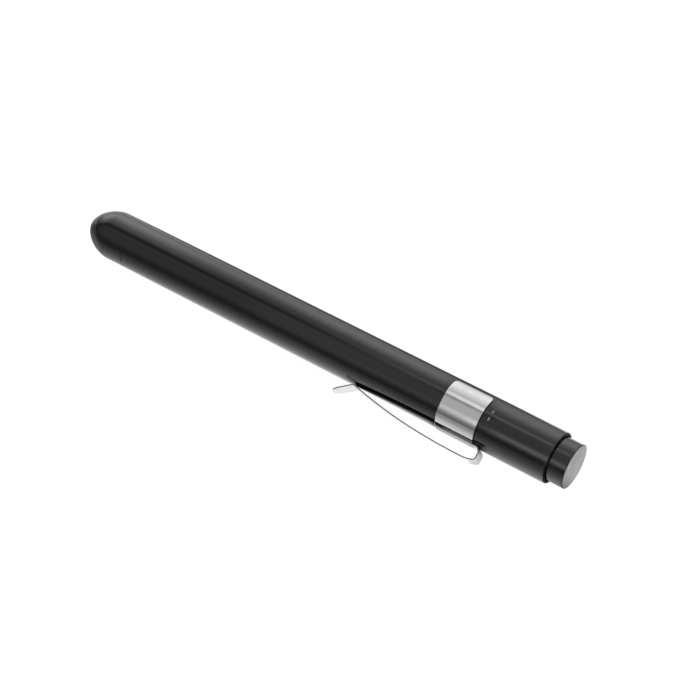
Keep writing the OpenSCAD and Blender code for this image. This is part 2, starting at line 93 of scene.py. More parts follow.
# Clearances and small sizes that several pieces share, in millimetres
SNUG = 0.02  # between a piece and the seat that holds it
CLEAR = 0.1  # between a piece and a bore round it
SPRING_GAP = 0.05  # at each end of the return spring
LENS_BODY = 2.5  # length of the lens behind its shoulder
FINE = 0.03  # radius of fine inner edges
FLANK = 0.4  # place of the points beside a round, as a share of its radius
BESIDE = 1.6  # place of the points beside a sheet's corner, in radii of its edge


def ends(node):
    """Front end, rear end and outer radius of a round node, in millimetres."""
    low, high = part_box(node)
    return low[0] / MM, high[0] / MM, high[2] / MM


_, SPIGOT_END_X, NOSE_R = ends("nose_shell")
BARREL_X, BARREL_END_X, BARREL_R = ends("barrel")
TAIL_X, RIM_X, _ = ends("tail_sleeve")
STEM_X, BUTTON_END_X, BUTTON_R = ends("push_button")
DISC_X, _, DISC_R = ends("button_disc")
LENS_TIP_X, LENS_END_X, LENS_R = ends("nose_lens")
_, REFLECTOR_END_X, REFLECTOR_R = ends("reflector")
_, _, HOLDER_R = ends("lamp_holder")
SEAL_X, SEAL_END_X, SEAL_R = ends("nose_o_ring")
_, _, CUP_R = ends("contact_cup")
_, _, BUSH_FLANGE_R = ends("switch_base")
BAND_X, BAND_END_X, _ = ends("clip_band")
RETURN_X, RETURN_END_X, RETURN_OUT_R = ends("return_spring")
BATTERY_X, BATTERY_END_X, BATTERY_OUT_R = ends("battery_spring")
FRONT_X, FRONT_END_X, FRONT_OUT_R = ends("front_contact_spring")


def length(label, words, default):
    """A length of the PropertyGroups, in metres, from its size in millimetres."""
    return FloatProperty(name=label, description=words, default=default * MM, min=0, unit="LENGTH",
                         subtype="DISTANCE", precision=5)


def colour(label, words, *rgb):
    """A colour of the PropertyGroups, linear."""
    return FloatVectorProperty(name=label, description=words, default=rgb, size=3, min=0, max=1,
                               subtype="COLOR")


def share(label, words, default, top=1.0):
    """A plain number of the PropertyGroups."""
    return FloatProperty(name=label, description=words, default=default, min=0, max=top)


class PenlightSizes(bpy.types.PropertyGroup):
    """Sizes of the visible shapes"""
    collar: length("Collar", "Length of the nose's straight collar", 6.35)
    dome: length("Dome", "Length of the dome, if it ran to a closed tip", 8.65)
    dome_power: share("Dome roundness", "2 is an ellipse, less is more pointed", 1.7, 3)
    aperture: length("Aperture", "Radius of the light's aperture", 1.9)
    edge: length("Edge", "Radius of the broken edges", 0.06)
    seam_width: length("Seam width", "Width of the bevel at the barrel's front edge", 0.2)
    seam_depth: length("Seam depth", "Depth of that bevel", 0.015)
    seam_wear: length("Seam wear", "How much deeper the bevel is worn on the pen's lower front", 0.4)
    chip: length("Chip", "Length of the chips in the lacquer at the tail's seam", 0.5)
    seam_edge: length("Seam edge", "Radius of the edges at both seams", 0.02)
    thread_pitch: length("Thread pitch", "Distance between the thread's ridges", 1.0)
    thread_height: length("Thread height", "Height of a ridge over its root", 0.2)
    rim: length("Rim", "Radius of the tail's rounded rim", 0.6)
    rim_wall: length("Rim wall", "Wall of the tail round the button", 0.65)
    button_round: length("Button edge", "Radius round the button's end", 0.11)
    sheet: length("Sheet", "Thickness of the clip's steel", 0.34)
    sheet_edge: length("Sheet edge", "Radius of the band's edges", 0.13)
    strip_edge: length("Strip edge", "Radius of the spring strip's edges", 0.04)
    band_corner: length("Band corner", "Radius of the band's corners", 1.1)
    band_arc: FloatProperty(name="Band arc", description="Angle that the band wraps round the barrel",
                            default=np.radians(278), subtype="ANGLE")
    strip_width: length("Strip width", "Width of the spring strip", 4.4)
    lip_corner: length("Lip corner", "Radius of the lip's corners", 1.6)
    return_wire: length("Return wire", "Wire of the button's return spring", 0.5)
    battery_wire: length("Battery wire", "Wire of the battery spring", 0.7)
    front_wire: length("Front wire", "Wire of the front contact spring", 0.45)
    steps: IntProperty(name="Steps", description="Steps round a lathed piece", default=160, min=24)


class PenlightColours(bpy.types.PropertyGroup):
    """Colours and gloss of the finishes"""
    lacquer: colour("Lacquer", "Gloss black lacquer of the tube", 0.0022, 0.0022, 0.0024)
    plastic: colour("Plastic", "Black plastic of the button", 0.004, 0.004, 0.0043)
    steel: colour("Steel", "Satin steel of the clip", 0.51, 0.51, 0.514)
    aluminium: colour("Aluminium", "Satin disc on the button", 0.29, 0.29, 0.29)
    brass: colour("Brass", "Turned brass", 0.62, 0.40, 0.13)
    nickel: colour("Nickel", "Nickel plate", 0.55, 0.53, 0.49)
    ivory: colour("Ivory", "Moulded insulators", 0.70, 0.66, 0.55)
    jacket: colour("Jacket", "Film round the cells", 0.03, 0.06, 0.09)
    board: colour("Board", "Lamp's board", 0.01, 0.09, 0.03)
    chip: colour("Chip", "Chip on the board", 0.006, 0.006, 0.006)
    rubber: colour("Rubber", "Seal ring", 0.004, 0.004, 0.004)
    lens: colour("Lens", "Clear lens", 0.95, 0.98, 1.0)
    resin: colour("Resin", "Lamp's resin", 0.95, 0.88, 0.62)
    mirror: colour("Mirror", "Plated reflector", 0.85, 0.85, 0.86)
    lacquer_gloss: share("Lacquer roughness", "Roughness of the lacquer", 0.06)
    steel_gloss: share("Steel roughness", "Roughness of the satin steel", 0.09)


class PenlightStudio(bpy.types.PropertyGroup):
    """Levels of the studio's lights, where 1 is paper white"""
    room: share("Room", "Dark room between the panels", 0.22, 5)
    front_panel: share("Front panel", "Wide panel in front of the pen", 0.50, 5)
    rear_panel: share("Rear panel", "Wide panel over and behind the pen", 0.62, 5)
    rear_lamp: share("Rear lamp", "Softbox behind the pen", 1.25, 5)
    left_panel: share("Left panel", "Panel over the nose, in front of the softbox", 0.38, 5)
    over_panel: share("Overhead panel", "Panel over the tail, between front and rear", 0.55, 5)
    panel_edge: share("Panel edge", "Bright front edge of the rear panel, over the tail", 1.15, 5)
    side_lamp: share("Side lamp", "Narrow lamp beside the tail", 1.3, 5)
    floor_shadow: share("Floor shadow", "Share of the floor that takes shadow", 0.08)


def mm(group, *keys):
    """Lengths of a PropertyGroup, in millimetres."""
    return [getattr(group, key) / MM for key in keys]


# Profiles and surfaces. Lengths are in millimetres until mesh_object.

def rounded(corners, steps=6):
    """Closed profile of points (x, r) with rounded corners, and a mark that is 1 on the rounds.

    Each corner (x, r, f) gets an arc of radius f that touches both its sides at f / tan(half angle) from
    the corner. A point just outside each end of the arc keeps the shading of the long faces flat: it lies
    FLANK times f further on, or FLANK times what the two arcs leave of a short side.
    A corner with f = 0 stays one point.
    """
    place, fillet = np.split(np.asarray(corners, float), [2], 1)
    ahead = np.roll(place, -1, 0) - place
    side = np.linalg.norm(ahead, axis=1, keepdims=True)
    ahead /= side
    behind = -np.roll(ahead, 1, 0)
    half = np.arccos(np.clip(np.sum(ahead * behind, 1, keepdims=True), -1, 1)) / 2
    reach = fillet / np.tan(half)
    free = side - reach - np.roll(reach, -1)
    before = place + behind * (reach + FLANK * np.minimum(fillet, np.roll(free, 1)))
    after = place + ahead * (reach + FLANK * np.minimum(fillet, free))
    centre = place + (behind + ahead) / (2 * np.cos(half)) * fillet / np.sin(half)
    first, last = place + behind * reach - centre, place + ahead * reach - centre
    turn = np.pi - 2 * half + (fillet == 0)
    u = np.linspace(0, 1, steps)[:, None, None]
    arc = centre + (np.sin((1 - u) * turn) * first + np.sin(u * turn) * last) / np.sin(turn)
    points = np.concatenate([before[None], arc, after[None]]).swapaxes(0, 1)
    marks = np.ones(points.shape[:2])
    marks[:, [0, -1]] = 0
    kept = (fillet > 0) | (np.arange(steps + 2) == 0)
    return points[kept], marks[kept]


def stacked(*parts):
    """Points from their coordinates, each an array or one number."""
    return np.stack(np.broadcast_arrays(*parts), -1)


def path_length(path):
    """Length along a path at each of its points."""
    return np.concatenate([[0], np.cumsum(np.linalg.norm(np.diff(path, axis=0), axis=1))])


def grid_faces(rows, cols, wrap_rows=True, wrap_cols=True):
    """Corner numbers of the quads of a grid, joined end to start where it wraps."""
    i, j = np.meshgrid(np.arange(rows - (not wrap_rows)), np.arange(cols - (not wrap_cols)), indexing="ij")
    i1, j1 = (i + 1) % rows, (j + 1) % cols
    return stacked(i * cols + j, i * cols + j1, i1 * cols + j1, i1 * cols + j).reshape(-1, 4).tolist()


def tube_faces(rows, cols):
    """Faces of a grid that wraps round its columns, with a flat cap at each end."""
    caps = [list(range(cols))[::-1], list(range((rows - 1) * cols, rows * cols))]
    return grid_faces(rows, cols, False) + caps


def lathe(profile, marks, steps, swell=0.0):
    """Points and faces of a surface of revolution about the pen's axis, and each point's mark.

    Each profile point (x, r) becomes the ring (x, r cos a, r sin a). swell is added to r for each point and
    angle. A profile that starts and ends on the axis closes there in two fans, any other is a closed loop.
    The loop is turned so that its inside lies on the right, which makes the faces point outwards.
    """
    swell = np.broadcast_to(swell, (len(profile), steps))
    after = np.roll(profile, -1, 0)
    if np.sum(profile[:, 0] * after[:, 1] - after[:, 0] * profile[:, 1]) > 0:
        profile, marks, swell = profile[::-1], marks[::-1], swell[::-1]
    solid = profile[0, 1] == 0 and profile[-1, 1] == 0
    inner = slice(1, -1) if solid else slice(None)
    a = np.linspace(0, TURN, steps, endpoint=False)
    r = profile[inner, 1:] + swell[inner]
    points = stacked(profile[inner, :1], r * np.cos(a), r * np.sin(a)).reshape(-1, 3)
    faces = grid_faces(len(r), steps, not solid)
    marks = np.repeat(marks[inner], steps)
    if solid:
        first, last = len(points), len(points) + 1
        points = np.concatenate([points, [[profile[0, 0], 0, 0], [profile[-1, 0], 0, 0]]])
        marks = np.concatenate([marks, [0, 0]])
        j = np.arange(steps)
        k = (j + 1) % steps
        base = (len(r) - 1) * steps
        faces += stacked(first, k, j).tolist() + stacked(last, base + j, base + k).tolist()
    return points, faces, marks


def sheet_section(edge, steps=4):
    """Outline of a sheet's section as shares of its half width and half thickness, and fixed offsets.

    The outline runs anticlockwise: four corners rounded with the edge's radius, and the two faces divided
    between them. A point is (share of half width, offset, share of half thickness, offset).
    """
    turn = np.linspace(0, np.pi / 2, steps)
    across = np.array([0.8, 0.5, 0.2, -0.2, -0.5, -0.8])
    parts = []
    for side, face, start in ((1, 1, 0), (-1, 1, 1), (-1, -1, 2), (1, -1, 3)):
        a = turn + start * np.pi / 2
        corner = stacked(side, edge * (np.cos(a) - side), face, edge * (np.sin(a) - face))
        near = np.array([[side, -side * BESIDE * edge, face, 0.0]])
        beside = np.array([[side, 0.0, face, -face * BESIDE * edge]])
        flat = stacked(face * across, 0, face, 0)
        if start in (0, 2):
            parts += [beside, corner, near, flat]
        else:
            parts += [near, corner, beside]
    return np.concatenate(parts)


def sheet(path, side, normal, half_width, thickness, bow, edge):
    """Points, faces, run and cut edges of a sheet carried along a path.

    At each path point the section lies across side and normal. With a bow k it bends about a centre 1 / k
    below the path: the point at q across and h up is side sin(kq) / k + normal (cos(kq) - 1) / k, plus h
    along the bent normal side sin(kq) + normal cos(kq). Both ends are closed by a flat cap.
    run holds the length along the path, q and h. cut is 1 on the flat of the two long edges, the cut edges.
    """
    section = sheet_section(edge)
    q = section[:, 0] * half_width[:, None] + section[:, 1]
    h = (section[:, 2] + section[:, 3] / (thickness.max() / 2)) * thickness[:, None] / 2
    angle = bow[:, None] * q
    over = q * np.sinc(angle / np.pi)
    under = -q * np.sin(angle / 2) * np.sinc(angle / TURN)
    across, up = over + h * np.sin(angle), under + h * np.cos(angle)
    points = path[:, None] + side[:, None] * across[..., None] + normal[:, None] * up[..., None]
    rows, cols = q.shape
    faces = tube_faces(rows, cols)
    if np.sum(np.cross(side, normal)[:-1] * np.diff(path, axis=0)) < 0:
        faces = [face[::-1] for face in faces]
    run = stacked(path_length(path)[:, None], q, h)
    cut = np.tile((np.abs(section[:, 0]) == 1) & (np.abs(section[:, 1]) < 1e-9), rows).astype(float)
    return points.reshape(-1, 3), faces, run.reshape(-1, 3), cut


def corner_width(distance, half_width, corner):
    """Half width of a sheet at a distance from its end, where the corners are quarter circles."""
    inside = np.clip(corner - distance, 0, corner)
    return half_width - corner + np.sqrt(corner ** 2 - inside ** 2)


def end_thickness(distance, thickness, edge):
    """Thickness of a sheet near its end: the two faces close in on a round of the edge's radius."""
    inside = np.clip(1 - distance / edge, 0, 1)
    return thickness - 2 * edge * (1 - np.sqrt(1 - inside ** 2))


def coil(x0, x1, r0, r1, curls, wire, rings=48, sides=14):
    """Points and faces of a wound wire with closed ends, from place x0 and radius r0 to x1 and r1.

    The middle line is (x, r cos a, r sin a). The rise per turn is just over one wire on the first and the
    last curl and even between them. The round section lies across the radius and the pen's axis.
    """
    n = np.linspace(0, curls, curls * rings + 1)
    closed, end_curl, change = 1.04 * wire, 0.8, 0.5
    ease = smooth((n - end_curl) / change) * smooth((curls - n - end_curl) / change)
    even = np.mean((ease[1:] + ease[:-1]) / 2) * curls
    wide = (x1 - x0 - wire - closed * (curls - even)) / even
    rise = closed + (wide - closed) * ease
    x = x0 + wire / 2 + np.concatenate([[0], np.cumsum((rise[1:] + rise[:-1]) / 2 * np.diff(n))])
    r = r0 + (r1 - r0) * n / curls
    a = TURN * n
    radial = stacked(0, np.cos(a), np.sin(a))
    middle = stacked(x, r * np.cos(a), r * np.sin(a))
    b = np.linspace(0, TURN, sides, endpoint=False)[:, None]
    points = middle[:, None] + wire / 2 * (np.cos(b) * radial[:, None] - np.sin(b) * PEN_AXIS)
    return points.reshape(-1, 3), [face[::-1] for face in tube_faces(len(n), sides)]


def smooth(u):
    """Smooth step from 0 to 1."""
    u = np.clip(u, 0, 1)
    return u * u * (3 - 2 * u)


def mesh_object(name, points, faces):
    """New mesh object at the origin. Points are in millimetres."""
    mesh = bpy.data.meshes.new(name)
    mesh.from_pydata((points * MM).tolist(), [], faces)
    made = bpy.data.objects.new(name, mesh)
    bpy.context.scene.collection.objects.link(made)
    return made


def add_piece(name, points, faces, slot, *nodes, **attributes):
    """Smooth piece with the slot's finish and its own marks, which takes the place of the nodes."""
    piece = mesh_object(name, points, faces)
    mesh = piece.data
    mesh.polygons.foreach_set("use_smooth", np.ones(len(mesh.polygons), bool))
    for key, values in attributes.items():
        kind, part = ("FLOAT_VECTOR", "vector") if values.ndim == 2 else ("FLOAT", "value")
        layer = mesh.attributes.new(key, kind, "POINT")
        layer.data.foreach_set(part, np.ascontiguousarray(values, np.float32).ravel())
    mesh.update()
    mesh.materials.append(finish(slot))
    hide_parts(*nodes)
    return piece


# Finishes

def scaled(rgb, factor):
    """A colour, lighter or darker."""
    return [min(1.0, part * factor) for part in rgb]


class Tree:
    """A node tree under construction. Plain values are set on the nodes' own sockets."""

    def __init__(self, tree):
        self.nodes, self.links = tree.nodes, tree.links

    def node(self, kind, inputs=(), **settings):
        """A node with its settings, whose inputs are linked where a socket is given and set otherwise."""
        node = self.nodes.new(kind)
        for key, value in settings.items():
            setattr(node, key, value)
        for key, value in dict(inputs).items():
            if isinstance(value, bpy.types.NodeSocket):
                self.links.new(value, node.inputs[key])
            else:
                node.inputs[key].default_value = value
        return node

    def place(self, stretch=(1, 1, 1), attribute=None):
        """Object coordinates, or an attribute of the piece, stretched."""
        if attribute:
            source = self.node("ShaderNodeAttribute", attribute_name=attribute).outputs["Vector"]
        else:
            source = self.node("ShaderNodeTexCoord").outputs["Object"]
        return self.node("ShaderNodeMapping", {"Vector": source, "Scale": stretch}).outputs["Vector"]

    def mark(self, attribute):
        """A number that the piece carries at each point."""
        return self.node("ShaderNodeAttribute", attribute_name=attribute).outputs["Fac"]

    def noise(self, scale, detail, stretch=(1, 1, 1), attribute=None):
        """Noise of about 1 / scale metres."""
        form = {"Vector": self.place(stretch, attribute), "Scale": scale, "Detail": detail}
        return self.node("ShaderNodeTexNoise", form).outputs["Fac"]

    def span(self, value, low, high, start=0.3, end=0.7, **settings):
        """The value carried from start and end to low and high."""
        ends = {"Value": value, "From Min": start, "From Max": end, "To Min": low, "To Max": high}
        return self.node("ShaderNodeMapRange", ends, **settings).outputs["Result"]

    def ease(self, value, start, end, low, high):
        """A level that goes smoothly from low to high between two places of the value."""
        return self.span(value, low, high, start, end, interpolation_type="SMOOTHSTEP")

    def strip(self, value, rise, fall, level):
        """A level that rises smoothly over one stretch of the value and falls over another, where given."""
        risen = self.ease(value, *rise, 0, level) if rise else level
        return self.less(risen, self.ease(value, *fall, 0, level)) if fall else risen

    def math(self, operation, a, b=0.0):
        """One operation on two numbers."""
        return self.node("ShaderNodeMath", {0: a, 1: b}, operation=operation).outputs[0]

    def less(self, value, taken):
        """Difference of two numbers."""
        return self.math("SUBTRACT", value, taken)

    def total(self, first, *others):
        """Sum of numbers."""
        for other in others:
            first = self.math("ADD", first, other)
        return first

    def times(self, first, *others):
        """Product of numbers."""
        for other in others:
            first = self.math("MULTIPLY", first, other)
        return first

    def tint(self, value, low, high):
        """Colour between two colours."""
        ramp = self.node("ShaderNodeValToRGB", {"Fac": value})
        ramp.color_ramp.elements[0].color = (*low, 1)
        ramp.color_ramp.elements[1].color = (*high, 1)
        return ramp.outputs["Color"]

    def blend(self, value, low, high):
        """Mix of two colours, each linked or given as a value."""
        return self.node("ShaderNodeMix", {0: value, 6: low, 7: high}, data_type="RGBA").outputs[2]

    def parts(self, vector):
        """X, Y and Z of a vector."""
        return self.node("ShaderNodeSeparateXYZ", {0: vector}).outputs

    def glow(self, kind, strength):
        """White light of a strength."""
        return self.node(kind, {"Color": (1, 1, 1, 1), "Strength": strength}).outputs[0]

    def either(self, value, first, second):
        """Shader that goes from the first to the second with the value."""
        return self.node("ShaderNodeMixShader", {0: value, 1: first, 2: second}).outputs[0]

    def wave(self, scale, distortion, **settings):
        """Fine turned lines."""
        form = {"Vector": self.place(), "Scale": scale, "Distortion": distortion, "Detail": 2.0}
        return self.node("ShaderNodeTexWave", form, **settings).outputs["Fac"]


class Finish(Tree):
    """A Principled material under construction, named after its slot."""

    def __init__(self, slot, **sockets):
        self.material = bpy.data.materials.new(slot + "_finish")
        self.material.use_nodes = True
        super().__init__(self.material.node_tree)
        self.shader = self.nodes["Principled BSDF"]
        for key, value in sockets.items():
            self.shader.inputs[key.replace("_", " ")].default_value = value

    def feed(self, key, value):
        """Links a value to a socket of the shader."""
        self.links.new(value, self.shader.inputs[key])

    def mottle(self, rgb, low, high, grain):
        """Base colour between a darker and a lighter tone, as a grain says."""
        self.feed("Base Color", self.tint(self.span(grain, 0, 1), scaled(rgb, low), scaled(rgb, high)))

    def bump(self, height, strength, distance):
        """Relief on the shader's normal, which adds to the relief before it."""
        form = {"Height": height, "Strength": strength, "Distance": distance * MM}
        node = self.node("ShaderNodeBump", form)
        before = self.shader.inputs["Normal"].links
        if before:
            self.links.new(before[0].from_socket, node.inputs["Normal"])
        self.links.new(node.outputs["Normal"], self.shader.inputs["Normal"])


def black_lacquer(colours):
    """Gloss black lacquer: faint flow of the paint, fine wiping lines, rubbed edges, a matt rim as painted
    shade, bare chips.
    """
    f = Finish("black_lacquer", IOR=1.5)
    bare, matt = f.mark("bare"), f.mark("matt")
    rubbed = f.times(f.mark("edge"), f.span(f.noise(900, 4), 0, 1, 0.45, 0.75))
    paint = f.tint(rubbed, colours.lacquer, scaled(colours.lacquer, 9))
    f.feed("Base Color", f.blend(bare, paint, (*colours.steel, 1)))
    f.feed("Metallic", bare)
    # painted shade: where the rim mark is 1 the lacquer loses its gloss, so the rim's rounding reads as the
    # dark gap round the button
    f.feed("Specular IOR Level", f.span(matt, 0.5, 0.03, 0, 1))
    wiped = f.span(f.noise(1500, 2, (0.03, 1, 1)), 0.6 * colours.lacquer_gloss, 1.5 * colours.lacquer_gloss)
    f.feed("Roughness", f.total(wiped, f.times(rubbed, 0.12), f.times(matt, 0.4)))
    f.bump(f.noise(350, 1), 0.05, 0.01)


def black_plastic(colours):
    """Moulded black plastic: a fine grain, a little duller than the lacquer, with rubbed edges whose gloss is
    taken away as painted shade, such as the dark line round the disc.
    """
    f = Finish("black_plastic", IOR=1.5)
    edge = f.mark("edge")
    rubbed = f.times(edge, f.span(f.noise(700, 4), 0, 1, 0.4, 0.7))
    f.feed("Base Color", f.tint(rubbed, colours.plastic, scaled(colours.plastic, 6)))
    # painted shade: the rounds lose their gloss so that they read as dark lines, such as the one round the
    # disc
    f.feed("Specular IOR Level", f.span(edge, 0.5, 0.02, 0, 1))
    f.feed("Roughness", f.total(f.span(f.noise(1200, 3), 0.09, 0.17), f.times(edge, 0.35)))
    f.bump(f.noise(6000, 2), 0.08, 0.004)


def satin_steel(colours):
    """Satin spring steel: fine lines along the strip, clouds of roughness, dull inner face, darker cut edges,
    and painted shade where a piece marks an edge darker still.
    """
    f = Finish("satin_steel", Metallic=1.0, Anisotropic=0.35)
    cut, depth = f.mark("cut"), f.parts(f.place(attribute="run"))["Z"]
    line = f.noise(1.0, 3, (0.25, 18, 18), "run")
    cloud = f.noise(0.35, 3, (1, 1, 1), "run")
    tone = f.tint(f.span(line, 0, 1, 0.25, 0.75), scaled(colours.steel, 0.93), scaled(colours.steel, 1.06))
    # painted shade: the edge mark darkens the strip's cut edges and, more strongly, the band's rear edge,
    # where it stands for the shadow line beside the band
    f.feed("Base Color", f.blend(f.times(cut, 0.6), tone, (0, 0, 0, 1)))
    dull = f.span(cloud, 0.8 * colours.steel_gloss, 1.25 * colours.steel_gloss)
    inner = f.ease(depth, -0.155, -0.11, 0.3, 0)
    f.feed("Roughness", f.total(dull, f.span(line, -0.02, 0.03), inner, f.times(cut, 0.12)))
    f.bump(line, 0.12, 0.004)


def satin_aluminium(colours):
    """Satin disc: faint turned rings round the pen's axis and a fine blasted grain."""
    f = Finish("satin_aluminium", Metallic=1.0)
    grain = f.noise(9000, 3)
    f.mottle(colours.aluminium, 0.94, 1.05, grain)
    f.feed("Roughness", f.span(f.noise(400, 3), 0.38, 0.5))
    f.bump(f.wave(700.0, 1.5, wave_type="RINGS", rings_direction="X"), 0.05, 0.004)
    f.bump(grain, 0.1, 0.004)


def turned_metal(slot, rgb, low, high):
    """Turned or drawn metal: fine rings round the pen's axis, spots of tarnish and uneven gloss."""
    f = Finish(slot, Metallic=1.0)
    f.mottle(rgb, 0.8, 1.1, f.noise(500, 4))
    f.feed("Roughness", f.span(f.noise(900, 3), low, high))
    f.bump(f.wave(900.0, 2.0, wave_type="BANDS", bands_direction="X"), 0.12, 0.01)


def moulded(slot, rgb, low, high):
    """Matt moulding or rubber: uneven tone, fine grain and uneven gloss."""
    f = Finish(slot, IOR=1.47)
    f.mottle(rgb, 0.85, 1.15, f.noise(250, 4))
    f.feed("Roughness", f.span(f.noise(700, 3), low, high))
    f.bump(f.noise(3500, 3), 0.2, 0.02)


def clear(slot, rgb, ior, through):
    """Clear lens or resin: a polish with faint haze, and slow waves in the surface."""
    f = Finish(slot, Base_Color=(*rgb, 1), IOR=ior, Transmission_Weight=through)
    f.feed("Roughness", f.span(f.noise(600, 3), 0.01, 0.06))
    f.bump(f.noise(300, 1), 0.03, 0.01)


def film(slot, rgb):
    """Plain film round a cell: uneven tone, faint wrinkles round the cell and a glossy varnish."""
    f = Finish(slot, IOR=1.5, Metallic=0.35)
    f.mottle(rgb, 0.85, 1.2, f.noise(120, 3))
    f.feed("Roughness", f.span(f.noise(500, 3), 0.22, 0.36))
    f.bump(f.noise(400, 2, (2.5, 1, 1)), 0.1, 0.03)


def make_finishes(colours):
    """All finishes, each under the name of its slot."""
    black_lacquer(colours)
    black_plastic(colours)
    satin_steel(colours)
    satin_aluminium(colours)
    clear("clear_lens", colours.lens, 1.49, 1.0)
    clear("lamp_resin", colours.resin, 1.53, 0.55)
    turned_metal("bright_reflector", colours.mirror, 0.05, 0.12)
    turned_metal("brass", colours.brass, 0.2, 0.36)
    turned_metal("nickel", colours.nickel, 0.16, 0.3)
    moulded("board_green", colours.board, 0.35, 0.5)
    moulded("chip_dark", colours.chip, 0.4, 0.6)
    moulded("ivory_plastic", colours.ivory, 0.42, 0.58)
    moulded("seal_rubber", colours.rubber, 0.5, 0.7)
    film("cell_jacket", colours.jacket)


def finish(slot):
    """A finish that the first operator has made."""
    return bpy.data.materials[slot + "_finish"]


# Pieces, stage and operators

class PENLIGHT_OT_finishes(bpy.types.Operator):
    """Make the finishes and dress the carried-over nodes inside the pen"""
    bl_idname = "penlight.finishes"
    bl_label = "Finishes and inner pieces"

    def execute(self, context):
        make_finishes(context.scene.penlight_colours)
        for row in frame["record"]["subparts"]:
            slots = frame["nodes"][row["node"]].data.materials
            slots.clear()
            slots.append(finish(row["material_slot"]))
        return {"FINISHED"}


def nose_shell(sizes):
    """Dome: r = R (1 - s^p)^(1/p) at the share s of its length, drawn from the collar to the aperture.

    Thread: on the spigot the radius rises by the height times a rounded wave of the phase
    x / pitch - 2 a / turn, a right-hand thread of two starts, faded out at both ends.
    """
    edge, collar, dome, aperture, seam, pitch, height = mm(
        sizes, "edge", "collar", "dome", "aperture", "seam_edge", "thread_pitch", "thread_height")
    power, steps = sizes.dome_power, sizes.steps
    lip_round, groove_gap, groove_depth, spigot_step = 0.05, 0.05, 0.7, 0.9
    thread_rows, thread_fade, thread_starts = 90, 0.4, 2
    tip = (1 - (aperture / NOSE_R) ** power) ** (1 / power)
    s = tip * np.sin(np.linspace(0, np.pi / 2, 60))
    over = stacked(-collar - dome * s, NOSE_R * (1 - s ** power) ** (1 / power))
    lip = np.array([over[-1, 0], aperture]) + lip_round * np.array([[FLANK, FLANK], [1, 0]])
    seat, cup, bore = LENS_R + SNUG, REFLECTOR_R + SNUG, HOLDER_R + CLEAR
    front, rear, root = SEAL_X - groove_gap, SEAL_END_X + groove_gap, SEAL_R - groove_depth
    spigot, lens_seat = BARREL_R - spigot_step, LENS_END_X - LENS_BODY
    inside, inside_marks = rounded([
        (lens_seat, aperture, FINE), (lens_seat, seat, FINE), (LENS_END_X, seat, FINE),
        (LENS_END_X, cup, FINE), (REFLECTOR_END_X, cup, FINE), (REFLECTOR_END_X, bore, FINE),
        (SPIGOT_END_X, bore, 0.1), (SPIGOT_END_X, spigot, 0.15)])
    first, last = SPIGOT_END_X - 0.2, rear + 0.1
    run = np.linspace(first, last, thread_rows)
    thread = stacked(run, spigot)
    groove, groove_marks = rounded([
        (rear, spigot, edge), (rear, root, 0.1), (front, root, 0.1), (front, spigot, edge),
        (0, spigot, 0.04), (0, NOSE_R, seam), (-collar, NOSE_R, 0)])
    profile = np.concatenate([inside, thread, groove[:-1], over, lip])
    marks = np.concatenate([inside_marks, 0 * run, groove_marks[:-1], 0 * s, [0, 0]])
    a = np.linspace(0, TURN, steps, endpoint=False)
    phase = run[:, None] / pitch - thread_starts * a / TURN
    fade = smooth((run - last) / thread_fade) * smooth((first - run) / thread_fade)
    wave = smooth(0.5 + 0.8 * np.cos(TURN * phase)) - 0.4
    swell = np.zeros((len(profile), steps))
    swell[len(inside):len(inside) + len(run)] = fade[:, None] * wave * height
    points, faces, round_marks = lathe(profile, marks, steps, swell)
    piece = add_piece("nose", points, faces, "black_lacquer", "nose_shell", edge=round_marks)
    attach(piece, "nose_body")


def nose_lens(sizes):
    """Lens: a plain rod with a shoulder, before it an elliptic dome r = R cos a, x = -D sin a."""
    edge, aperture, shoulder = 0.08, sizes.aperture / MM - SNUG, LENS_END_X - LENS_BODY
    a = np.linspace(np.pi / 2, 0, 24)
    dome = stacked(shoulder - (shoulder - LENS_TIP_X) * np.sin(a), aperture * np.cos(a))
    dome[0, 1] = 0
    body, marks = rounded([(shoulder, LENS_R, edge), (LENS_END_X, LENS_R, edge), (LENS_END_X, 0, 0)])
    profile, marks = np.concatenate([dome, body]), np.concatenate([0 * a, marks])
    points, faces, _ = lathe(profile, marks, sizes.steps)
    piece = add_piece("lens", points, faces, "clear_lens", "nose_lens")
    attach(piece, "nose_body")


class PENLIGHT_OT_nose(bpy.types.Operator):
    """Make the domed nose with its threaded spigot, and its lens"""
    bl_idname = "penlight.nose"
    bl_label = "Nose"

    def execute(self, context):
        sizes = context.scene.penlight_sizes
        nose_shell(sizes)
        nose_lens(sizes)
        return {"FINISHED"}


def barrel_tube(sizes):
    """Tube: the bevel at its front edge is worn deeper over a quarter of the turn, on the lower front.

    The wear is the smooth step of 3 cos(angle from the deepest place) - 1.9.
    """
    edge, seam, deep, wide, wear = mm(sizes, "edge", "seam_edge", "seam_depth", "seam_width", "seam_wear")
    mouth_wall, mouth_x, worn_at = 0.7, 5.2, np.radians(198)
    bore, mouth = CUP_R + SNUG, BARREL_R - mouth_wall
    profile, marks = rounded([
        (BARREL_X, mouth, 0.05), (BARREL_X, BARREL_R - deep, seam), (BARREL_X + wide, BARREL_R, seam),
        (BARREL_END_X, BARREL_R, seam), (BARREL_END_X, bore, edge), (mouth_x, bore, edge),
        (mouth_x, mouth, edge)])
    around = np.linspace(0, TURN, sizes.steps, endpoint=False)
    low_front = smooth(3 * np.cos(around - worn_at) - 1.9)
    front_edge = (profile[:, 0] < BARREL_X + 0.7 * wide) & (profile[:, 1] > mouth + 0.2)
    swell = -wear * np.outer(front_edge, low_front)
    points, faces, round_marks = lathe(profile, marks, sizes.steps, swell)
    tube = add_piece("barrel_tube", points, faces, "black_lacquer", "barrel", edge=round_marks)
    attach(tube, "barrel_body")


